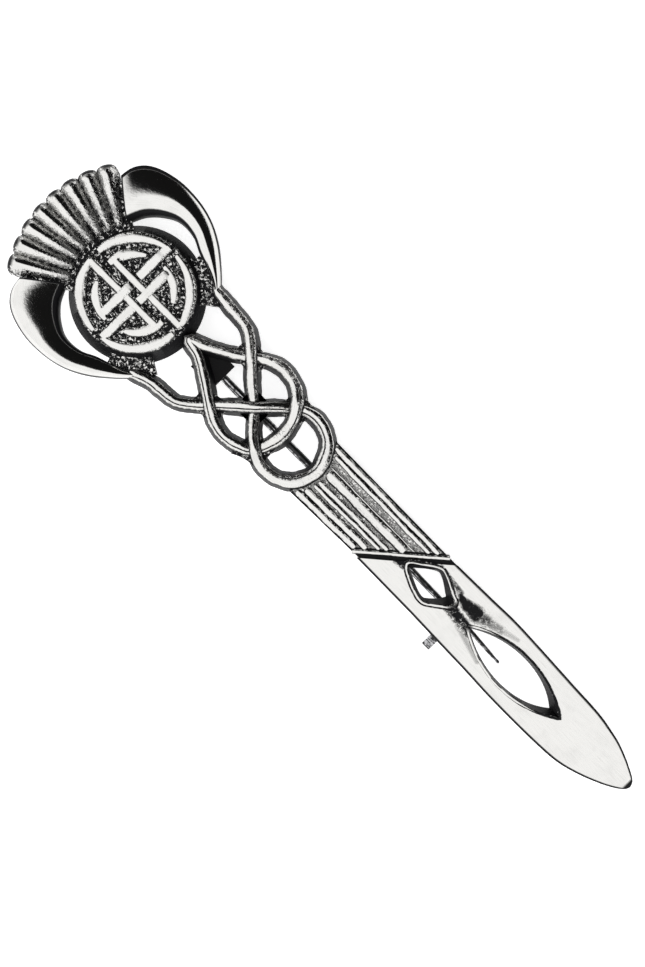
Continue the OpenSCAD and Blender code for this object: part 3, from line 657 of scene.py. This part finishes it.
def panel_shells(p, sizes, relief):
    """The panel's floor and its ribs, each rib run from the arc round the ring to the raised line beside
    the slanting groove. A rib starts and ends narrower, and has its whole width after a 35th of its length
    and until a 100th before its end."""
    low, high = PANEL_EDGES
    count, end_share = 60, 0.6

    def near(side):
        y = side * sizes.panel_half
        return np.array([p.ring_side(y) - sizes.ring_gap * (0.7 + 1.3 * side**4), y])

    def far(side):
        y = side * sizes.panel_end_half
        return np.array([p.slant(y) - p.half_groove, y])

    under = np.array([sizes.groove_w * 2, 0])
    ring_x = p.ring_end - p.ring_foot
    floor = [
        [ring_x, near(low)[1] * 0.6], near(low), far(low) + under, far(high) + under, near(high),
        [ring_x, near(high)[1] * 0.6],
    ]
    line = np.array([p.line_run, 0])
    groove = [far(low) - line, far(low) + under, far(high) + under, far(high) - line]
    black, coarse = (np.repeat(pair, len(floor)) for pair in ([1, 0.5], [0.1, 1]))
    shells = [
        plate("panel_floor", floor, relief.web_h, black, coarse),
        plate("groove_floor", groove, relief.web_h + 0.00002, grain=0.15),
    ]
    for i, (one, other) in enumerate(((low, PANEL_RIBS[0][0]), (PANEL_RIBS[-1][1], high))):
        strip = [near(one), far(one), far(other), near(other)]
        shells.append(plate(f"panel_edge_{i + 1}", strip, relief.web_h + 0.0001, grain=0.1))
    for i, (below, above, rise) in enumerate(PANEL_RIBS):
        middle = (below + above) / 2
        starts = middle * sizes.panel_half
        ends = middle * sizes.panel_end_half
        x = np.linspace(near(middle)[0], p.slant(ends) - p.half_groove - p.line_run, count)
        t = (x - x[0]) / (x[-1] - x[0])
        y = starts + (ends - starts) * t
        half = (above - below) / 2 * (sizes.panel_half + (sizes.panel_end_half - sizes.panel_half) * t)
        height = relief.web_h + rise * (relief.panel_h - relief.web_h)
        fade = np.minimum(1, np.minimum(t * 14, (1 - t) * 40) + end_share)
        path = np.column_stack([x, y, half * fade, np.full(count, height)])
        shells.append(raised_band(f"panel_rib_{i + 1}", path, FLAT_SECTION, 0.02, seed=i * 1.3,
                                  wander=0.00006))
    height = (relief.web_h + relief.panel_h) / 2
    path = np.column_stack([
        np.linspace(far(low), far(high), count), np.full(count, sizes.line_w * 0.5), np.full(count, height),
    ])
    shells.append(raised_band("groove_line", path, BAND_SECTION, 0.1, seed=5.0))
    return shells


def pressed(place, side, hollows):
    """How deep, how black and how coarse the blade is at each point; the black is partly blackening and
    partly painted shade. A hollow is a line with a radius at each end. It is whole within 0.2 of that radius,
    falls as a smooth step and ends at 1.7 of it. Where hollows overlap, the strongest one counts."""
    whole, gone = 0.2, 1.7
    depth, black, coarse = np.zeros(place.shape), np.zeros(place.shape), np.zeros(place.shape)
    for x1, y1, x2, y2, r1, r2, deep, dark, rough in hollows:
        way = np.array([x2 - x1, y2 - y1])
        t = np.clip(((place - x1) * way[0] + (side - y1) * way[1]) / (way @ way), 0, 1)
        away = np.hypot(place - x1 - t * way[0], side - y1 - t * way[1]) / (r1 + (r2 - r1) * t)
        step = np.clip((gone - away) / (gone - whole), 0, 1)
        step = step * step * (3 - 2 * step)
        depth = np.maximum(depth, deep * step)
        black = np.maximum(black, dark * step)
        coarse = np.maximum(coarse, rough * step)
    return depth, black, coarse


def blade_shell(p, sizes, relief):
    """The blade as a grid of shares along and across. The height falls slightly from the middle line to
    both edges, drops in a narrow round at the very edge, sinks into the hollows, and droops at the tip."""
    edge_w, edge_drop, crown_h, sunk, droop_len, droop = 0.0002, 0.00022, 0.00005, 0.00003, 0.0014, 0.0006
    first_low, first_high = -0.87 * sizes.blade_half, BLADE[0][1] * sizes.blade_half
    start_low, start_high = (p.slant(y) + p.half_groove * 0.4 for y in (first_low, first_high))
    rows = smooth(BLADE, 10)
    x = start_high + rows[:, 0] * (p.tip_x - start_high)
    run = 1 - (1 - np.linspace(0, 1, 320)) ** 1.25
    across = np.array([0, 0.006, 0.015, 0.03, *np.linspace(0.05, 0.95, 64), 0.97, 0.985, 0.994, 1])
    begin = start_low + (start_high - start_low) * across
    place = begin[None, :] + run[:, None] * (p.tip_x - begin[None, :])
    xs = np.concatenate([[start_low], x])
    low = np.interp(place, xs, np.concatenate([[first_low], rows[:, 2] * sizes.blade_half]))
    high = np.interp(place, xs, np.concatenate([[first_high], rows[:, 1] * sizes.blade_half]))
    side = low + (high - low) * across[None, :]
    edge = np.minimum(across, 1 - across)[None, :] * (high - low)
    round_off = edge_drop * np.clip(1 - edge / edge_w, 0, 1) ** 2
    crown = crown_h * ((high - low) / 2 / sizes.blade_half) ** 2 * (1 - (2 * across[None, :] - 1) ** 2)
    end = np.clip((place - (p.tip_x - droop_len)) / droop_len, 0, 1)
    hollows = np.array(HOLLOWS)
    hollows[:, :7] /= MM_PER_M
    hollows[:, [0, 2]] += p.leaf_hole_x - sizes.neck_len / 2
    depth, black, coarse = pressed(place, side, hollows)
    height = relief.blade_h - sunk + crown - round_off - depth - droop * end**2
    # Black along both edges: partly the blackened edge, partly painted shade of its wall
    black = np.maximum(black, np.clip(1.9 - edge / edge_w, 0, 1))
    # The drooping tip turns black: painted shade
    black = np.maximum(black, np.clip(end * 2 - 0.5, 0, 1))
    count, wide = place.shape
    top = np.dstack([place, side, height]).reshape(-1, 3)
    index = np.arange(count * wide).reshape(count, wide)
    rim = np.concatenate([index[0, ::-1], index[1:, 0], index[-1, 1:], index[-2:0:-1, -1]])
    back = np.arange(len(rim)) + count * wide
    faces = grid_faces(count, wide).tolist()
    faces += np.stack([back, np.roll(back, -1), np.roll(rim, -1), rim], 1).tolist()
    faces.append(back[::-1].tolist())
    points = np.vstack([top, top[rim] * [1, 1, 0]])
    values = np.concatenate([black.ravel(), np.ones(len(rim))])
    grains = np.concatenate([coarse.ravel(), np.zeros(len(rim))])
    return shell("blade", points, faces, values, grains, points[:, :2])


def diamond_outline(p, sizes):
    """The diamond's round-cornered outline, run round to the left."""
    outline = np.array(DIAMOND) * [sizes.diamond_len, sizes.diamond_w]
    outline += [p.diamond_x, 0.065 * sizes.diamond_w]
    return spaced(smooth(outline, 10, True), OUTLINE_STEP, True)


def leaf_hole_outline(p, sizes):
    """Two equal arcs that meet in points, run round to the left."""
    length, width = sizes.leaf_hole_len, sizes.leaf_hole_w
    radius = (length**2 + width**2) / (4 * width)
    half = np.arcsin(length / 2 / radius)
    angle = np.linspace(-half, half, 60)[:-1]
    arc = np.stack([radius * np.sin(angle), radius * np.cos(angle) - radius + width / 2], 1)
    outline = np.vstack([arc * [1, -1], -arc * [1, -1]])
    return outline + [p.leaf_hole_x + length / 2, -0.03 * sizes.leaf_hole_w]


def grown(outline, by):
    """A closed outline moved outwards by a distance, square to itself."""
    return outline - sideways(outline, True) * by


def shorter_back(face, sizes, lean):
    """An opening's outline at the back: moved inwards by the lean, and its blade end drawn in by the tail
    bevel more and more towards the tip, which rounds it."""
    back = grown(face, -lean)
    share = (back[:, 0] - back[:, 0].min()) / np.ptp(back[:, 0])
    back[:, 0] -= (sizes.tail_bevel - lean) * share**4
    return back


def opening_cutter(name, face, back, top):
    """The space of an opening: its outline at the back and at the face, carried on past both."""
    level = [(-0.001, back), (0.0, back), (top, face), (top + 0.002, face)]
    count = len(face)
    points = np.vstack([np.column_stack([outline, np.full(count, z)]) for z, outline in level])
    faces = grid_faces(4, count, False, True)[:, ::-1].tolist()
    faces += [list(range(count - 1, -1, -1)), list(range(3 * count, 4 * count))]
    return shell(name, points, faces, 1.0, 0.1, points[:, :2])


def rim_shell(name, outline, sizes, relief, neck, closed):
    """A narrow raised rim just outside an opening's outline, black where it meets the neck."""
    centre = outline - sideways(outline, closed) * sizes.rim_w * 0.35
    height = relief.blade_h + relief.rim_rise
    t = np.linspace(0, 1, len(centre))
    taper = np.ones(len(t)) if closed else np.clip(np.minimum(t, 1 - t) * 6, 0.05, 1)
    path = np.column_stack([centre, sizes.rim_w * 0.55 * taper, np.full(len(centre), height)])
    return raised_band(name, path, BAND_SECTION, 0.05, closed=closed, seed=3.0, dark_spot=neck)


def shadow_and_black_line(name, outline, relief, width):
    """A black line of the given width round an opening, a hair above the blade: a painted shadow of the
    opening's bevelled wall, and blackening in it. It starts a little inside the opening, so that the cut
    leaves no bright edge."""
    overlap, hair = 0.0001, 0.00004
    centre = grown(outline, width / 2 - overlap)
    height = relief.blade_h + hair
    path = np.column_stack([centre, np.full(len(centre), width / 2), np.full(len(centre), height)])
    return raised_band(name, path, SHADOW_AND_BLACK_SECTION, 0, closed=True, seed=3.0)


def combined(name, shells, operation, others):
    """One closed mesh: the first shell joined with, or cut by, all the others."""
    base = shells[0]
    bpy.context.scene.collection.objects.link(base)
    group = bpy.data.collections.new(name + "_operands")
    for other in shells[1:] + others:
        group.objects.link(other)
    change = base.modifiers.new(operation, "BOOLEAN")
    change.operation = operation
    change.operand_type = "COLLECTION"
    change.collection = group
    change.solver = "MANIFOLD"
    depsgraph = bpy.context.evaluated_depsgraph_get()
    mesh = bpy.data.meshes.new_from_object(base.evaluated_get(depsgraph))
    mesh.name = name
    for other in [base] + list(group.objects):
        data = other.data
        bpy.data.objects.remove(other)
        bpy.data.meshes.remove(data)
    bpy.data.collections.remove(group)
    return bpy.data.objects.new(name, mesh)


def casting_object(sizes, relief):
    """The whole cast front in one mesh. The blade is cut by its openings first, and then joined with the
    rest. The whole is moved until the blade's tip lies at the end of the CAD casting and the back at its
    height."""
    p = layout(sizes, relief)
    top = relief.blade_h + relief.rim_rise
    diamond = diamond_outline(p, sizes)
    leaf_hole = leaf_hole_outline(p, sizes)
    neck = [p.leaf_hole_x - sizes.neck_len / 2, -0.0001, sizes.neck_len * 0.55]
    lower_side = np.roll(leaf_hole, sizes.rim_above, 0)[:sizes.rim_above + 50]
    rims = [
        rim_shell("diamond_rim", diamond, sizes, relief, neck, True),
        rim_shell("leaf_hole_rim", lower_side, sizes, relief, neck, False),
        # Painted shadow lines, with blackening, round both openings
        shadow_and_black_line("diamond_shadow_and_black", diamond, relief, 0.00058),
        shadow_and_black_line("leaf_hole_shadow_and_black", leaf_hole, relief, 0.0004),
    ]
    blade = combined("blade", [blade_shell(p, sizes, relief)] + rims, "UNION", [])
    cutters = [
        opening_cutter("diamond_space", diamond, shorter_back(diamond, sizes, sizes.diamond_lean), top),
        opening_cutter("leaf_space", leaf_hole, shorter_back(leaf_hole, sizes, sizes.hole_lean), top),
    ]
    blade = combined("pierced_blade", [blade], "DIFFERENCE", cutters)
    shells = []
    for make in (medallion_shells, tuft_shells, leaf_shells, knot_shells, panel_shells):
        shells += make(p, sizes, relief)
    casting = combined("cast_front", shells + [blade], "UNION", [])
    low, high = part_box("casting")
    shift = Vector((high[0] - p.tip_x, 0, low[2]))
    casting.data.transform(Matrix.Translation(shift))
    casting.data.shade_smooth()
    casting.data.set_sharp_from_angle(angle=np.radians(38))
    bpy.context.scene.collection.objects.link(casting)
    return casting


def socket(tree, kind, **inputs):
    """Adds a node. Names with capitals set its inputs, by value or by a link from another node's output:
    In0 is the first input, and other names are the inputs' own. Lower-case names set the node's own
    settings."""
    node = tree.nodes.new(kind)
    for key, value in inputs.items():
        if key[0].islower():
            setattr(node, key, value)
            continue
        numbered = key.startswith("In") and key[2:].isdigit()
        slot = node.inputs[int(key[2:]) if numbered else key.replace("_", " ")]
        if isinstance(value, bpy.types.NodeSocket):
            tree.links.new(value, slot)
        else:
            slot.default_value = value
    return node


def new_material(name):
    """A node material with nothing in it but its output and a Principled shader, which it gives with its
    tree."""
    material = bpy.data.materials.new(name)
    material.use_nodes = True
    tree = material.node_tree
    return material, tree, tree.nodes["Principled BSDF"]


def maths(tree, operation, a, b, clamp=False):
    """The result of one Math node."""
    return socket(tree, "ShaderNodeMath", operation=operation, use_clamp=clamp, In0=a, In1=b).outputs[0]


def noise(tree, place, scale, detail, roughness, distortion=0.0):
    """The grey of one Noise node."""
    return socket(tree, "ShaderNodeTexNoise", Vector=place, Scale=scale, Detail=detail, Roughness=roughness,
                  Distortion=distortion).outputs["Fac"]


def mixed(tree, share, colour, other):
    """The colour of one Mix node, from the first colour where the share is nothing to the other where it is
    one."""
    return socket(tree, "ShaderNodeMix", data_type="RGBA", In0=share, In6=colour, In7=other).outputs[2]


def scaled(colour, share):
    """A plain colour made darker, with its alpha."""
    return (*[value * share for value in colour], 1)


def ramp(tree, value, low, high, to_low=0.0, to_high=1.0):
    """A smooth step of a value from one range to another."""
    return socket(tree, "ShaderNodeMapRange", interpolation_type="SMOOTHSTEP", Value=value, From_Min=low,
                  From_Max=high, To_Min=to_low, To_Max=to_high).outputs[0]


def pewter_material(finish):
    """Antiqued pewter: bright rubbed faces with fine brush marks, and black, coarse low places. The relief
    attribute says how low a place is, and grains of the coarse metal stand up bright through the black."""
    material, tree, shader = new_material("antiqued_pewter")
    place = socket(tree, "ShaderNodeTexCoord").outputs["Object"]
    relief = socket(tree, "ShaderNodeAttribute", attribute_name="relief").outputs["Fac"]
    coarse = socket(tree, "ShaderNodeAttribute", attribute_name="grain").outputs["Fac"]
    flow = socket(tree, "ShaderNodeUVMap", uv_map="Flow").outputs[0]
    grains = noise(tree, place, 2300.0, 2.0, 0.6, 0.8)
    fine = noise(tree, place, 5200.0, 3.0, 0.6)
    broad = noise(tree, place, 420.0, 4.0, 0.55)
    strokes_at = socket(tree, "ShaderNodeMapping", Vector=flow, Scale=(0.35, 22.0, 1.0)).outputs[0]
    strokes = noise(tree, strokes_at, 1.0, 5.0, 0.7)

    lump = ramp(tree, grains, 0.45, 0.64)
    worn = maths(tree, "MULTIPLY", maths(tree, "MULTIPLY", lump, coarse), 0.95)
    low = maths(tree, "SUBTRACT", relief, worn)
    ragged = maths(tree, "MULTIPLY", maths(tree, "ADD", relief, 0.15), maths(tree, "ADD", coarse, 0.25))
    low = maths(tree, "ADD", low, maths(tree, "MULTIPLY", maths(tree, "SUBTRACT", fine, 0.5), ragged))
    black = ramp(tree, low, 0.22, 0.72)
    clouds = ramp(tree, broad, 0.45, 0.75, 0.0, 0.25)
    haze = maths(tree, "ADD", clouds, ramp(tree, strokes, 0.45, 0.75, 0.0, 0.6))
    light = mixed(tree, haze, scaled(finish.pewter, 1.0), scaled(finish.pewter, 0.72))
    colour = mixed(tree, black, light, scaled(finish.black, 1.0))
    tree.links.new(colour, shader.inputs["Base Color"])
    tree.links.new(maths(tree, "SUBTRACT", 1.0, black), shader.inputs["Metallic"])
    rough = maths(tree, "ADD", 0.05, maths(tree, "MULTIPLY", strokes, 0.1))
    rough = maths(tree, "ADD", rough, maths(tree, "MULTIPLY", black, 0.3), clamp=True)
    tree.links.new(rough, shader.inputs["Roughness"])
    shader.inputs["Specular IOR Level"].default_value = 0.04

    height = maths(tree, "MULTIPLY", lump, coarse)
    height = maths(tree, "ADD", height, maths(tree, "MULTIPLY", fine, maths(tree, "MULTIPLY", coarse, 0.15)))
    height = maths(tree, "ADD", height, maths(tree, "MULTIPLY", strokes, 0.02))
    bump = socket(tree, "ShaderNodeBump", Strength=0.55, Distance=0.00016, Height=height)
    tree.links.new(bump.outputs[0], shader.inputs["Normal"])
    return material


def steel_material(name, colour, rough, bright_share):
    """Steel darkened with the casting and rubbed bright again in long streaks: the bright share says how
    much. The dark ground is partly blackening and partly painted shade, and the bright streaks partly rubbed
    wear and partly a painted highlight. Fine scratches run along the object."""
    material, tree, shader = new_material(name)
    place = socket(tree, "ShaderNodeTexCoord").outputs["Object"]
    stretched = socket(tree, "ShaderNodeMapping", Vector=place, Scale=(260.0, 3600.0, 3600.0)).outputs[0]
    marks = noise(tree, stretched, 1.0, 4.0, 0.65)
    stains = noise(tree, place, 1500.0, 4.0, 0.6)
    both = maths(tree, "ADD", maths(tree, "MULTIPLY", marks, 0.6), maths(tree, "MULTIPLY", stains, 0.4))
    rubbed_and_glint = ramp(tree, both, 0.62 - bright_share * 0.3, 0.7 - bright_share * 0.3)
    tint = mixed(tree, rubbed_and_glint, scaled(colour, 0.09), scaled(colour, 1.0))
    tree.links.new(tint, shader.inputs["Base Color"])
    shader.inputs["Metallic"].default_value = 1.0
    tree.links.new(maths(tree, "SUBTRACT", rough + 0.12, maths(tree, "MULTIPLY", rubbed_and_glint, 0.2)),
                   shader.inputs["Roughness"])
    bump = socket(tree, "ShaderNodeBump", Strength=0.4, Distance=0.00004, Height=both)
    tree.links.new(bump.outputs[0], shader.inputs["Normal"])
    return material


class KILTPIN_OT_casting(bpy.types.Operator):
    """Make the cast front, in place of its plain solid"""
    bl_idname = "kiltpin.casting"
    bl_label = "Cast Front"

    def execute(self, context):
        scene = context.scene
        casting = casting_object(scene.kilt_pin_sizes, scene.kilt_pin_relief)
        casting.data.materials.clear()
        casting.data.materials.append(pewter_material(scene.kilt_pin_finish))
        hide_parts("casting")
        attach(casting, "front")
        return {"FINISHED"}


class KILTPIN_OT_findings(bpy.types.Operator):
    """Give the hinge, the pin and the catch their steel finishes"""
    bl_idname = "kiltpin.findings"
    bl_label = "Findings"

    def execute(self, context):
        finish = context.scene.kilt_pin_finish
        # The hinge bracket and the catch's housing are darkened to three tenths: partly blackening, partly
        # painted shadow under the casting
        blackened_and_shaded = steel_material("plated_steel", [value * 0.3 for value in finish.steel], 0.3, -0.3)
        dark = steel_material("dark_steel", finish.steel, 0.3, 0.45)
        wire = steel_material("pin_steel", finish.wire, 0.22, 0.4)
        for name, material in (("joint_bracket", blackened_and_shaded), ("catch_housing", blackened_and_shaded), ("rivet", dark),
                               ("catch_lever", dark), ("pin_stem", wire)):
            node = frame["nodes"][name]
            node.data.materials.clear()
            node.data.materials.append(material)
        return {"FINISHED"}


class KILTPIN_OT_stage(bpy.types.Operator):
    """Set the floor, the soft light and the camera"""
    bl_idname = "kiltpin.stage"
    bl_label = "Stage"

    def execute(self, context):
        scene = context.scene
        low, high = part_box("casting")
        floor_half = 0.6
        outline = np.array([[-1, -1], [1, -1], [1, 1], [-1, 1]]) * floor_half
        floor = plate("floor", outline, 0.0, foot=-0.002)
        material, _, shader = new_material("pale_floor")
        shader.inputs["Base Color"].default_value = (0.92, 0.92, 0.92, 1)
        shader.inputs["Roughness"].default_value = 0.9
        shader.inputs["Emission Color"].default_value = (1, 1, 1, 1)
        shader.inputs["Emission Strength"].default_value = 0.75
        floor.data.materials.append(material)
        scene.collection.objects.link(floor)

        world = bpy.data.worlds.new("studio")
        scene.world = world
        world.use_nodes = True
        tree = world.node_tree
        way = socket(tree, "ShaderNodeTexCoord").outputs["Generated"]
        split = socket(tree, "ShaderNodeSeparateXYZ", Vector=way).outputs
        # The surroundings are bright but for a dark part above and to one side, which leaning faces mirror
        bright, dim = 1.5, 0.01
        across = ramp(tree, split["Y"], 0.08, 0.22)
        above = ramp(tree, split["Z"], 0.02, 0.12)
        dark = maths(tree, "MULTIPLY", across, above)
        strength = maths(tree, "SUBTRACT", bright, maths(tree, "MULTIPLY", dark, bright - dim))
        background = tree.nodes["Background"]
        background.inputs["Color"].default_value = (1, 1, 1, 1)
        tree.links.new(strength, background.inputs["Strength"])

        camera = bpy.data.objects.new("camera", bpy.data.cameras.new("camera"))
        # The camera looks straight down on the picture's middle, which lies this far from the blade's tip
        tip_to_middle, middle_side, face_height = 0.05527, -0.00036, 0.0022
        distance, seen_height, sensor = 0.220, 0.12307, 36
        middle = Vector((high[0] - tip_to_middle, middle_side, low[2] + face_height))
        camera.location = middle + Vector((0, 0, distance))
        camera.rotation_euler = (0, 0, np.pi / 4)
        camera.data.sensor_width = sensor
        camera.data.lens = sensor * distance / seen_height
        camera.data.clip_start = 0.01
        scene.collection.objects.link(camera)
        scene.camera = camera
        scene.view_settings.view_transform = "Standard"
        return {"FINISHED"}


class KILTPIN_PT_panel(bpy.types.Panel):
    """The kilt pin's operators and sizes"""
    bl_idname = "KILTPIN_PT_panel"
    bl_label = "Kilt Pin"
    bl_space_type = "VIEW_3D"
    bl_region_type = "UI"
    bl_category = "Kilt Pin"

    def draw(self, context):
        for operator in STEPS:
            self.layout.operator(operator.bl_idname)
        for key in GROUPS:
            group = getattr(context.scene, key)
            for name in group.__annotations__:
                self.layout.prop(group, name)


GROUPS = {"kilt_pin_sizes": KiltPinSizes, "kilt_pin_relief": KiltPinRelief, "kilt_pin_finish": KiltPinFinish}
STEPS = [KILTPIN_OT_casting, KILTPIN_OT_findings, KILTPIN_OT_stage]
CLASSES = list(GROUPS.values()) + STEPS + [KILTPIN_PT_panel]


def register():
    for item in CLASSES:
        bpy.utils.register_class(item)
    for name, group in GROUPS.items():
        setattr(bpy.types.Scene, name, PointerProperty(type=group))


def unregister():
    for name in GROUPS:
        delattr(bpy.types.Scene, name)
    for item in reversed(CLASSES):
        bpy.utils.unregister_class(item)


def main():
    register()
    bpy.ops.kiltpin.casting()
    bpy.ops.kiltpin.findings()
    bpy.ops.kiltpin.stage()


if __name__ == "__main__":
    main()
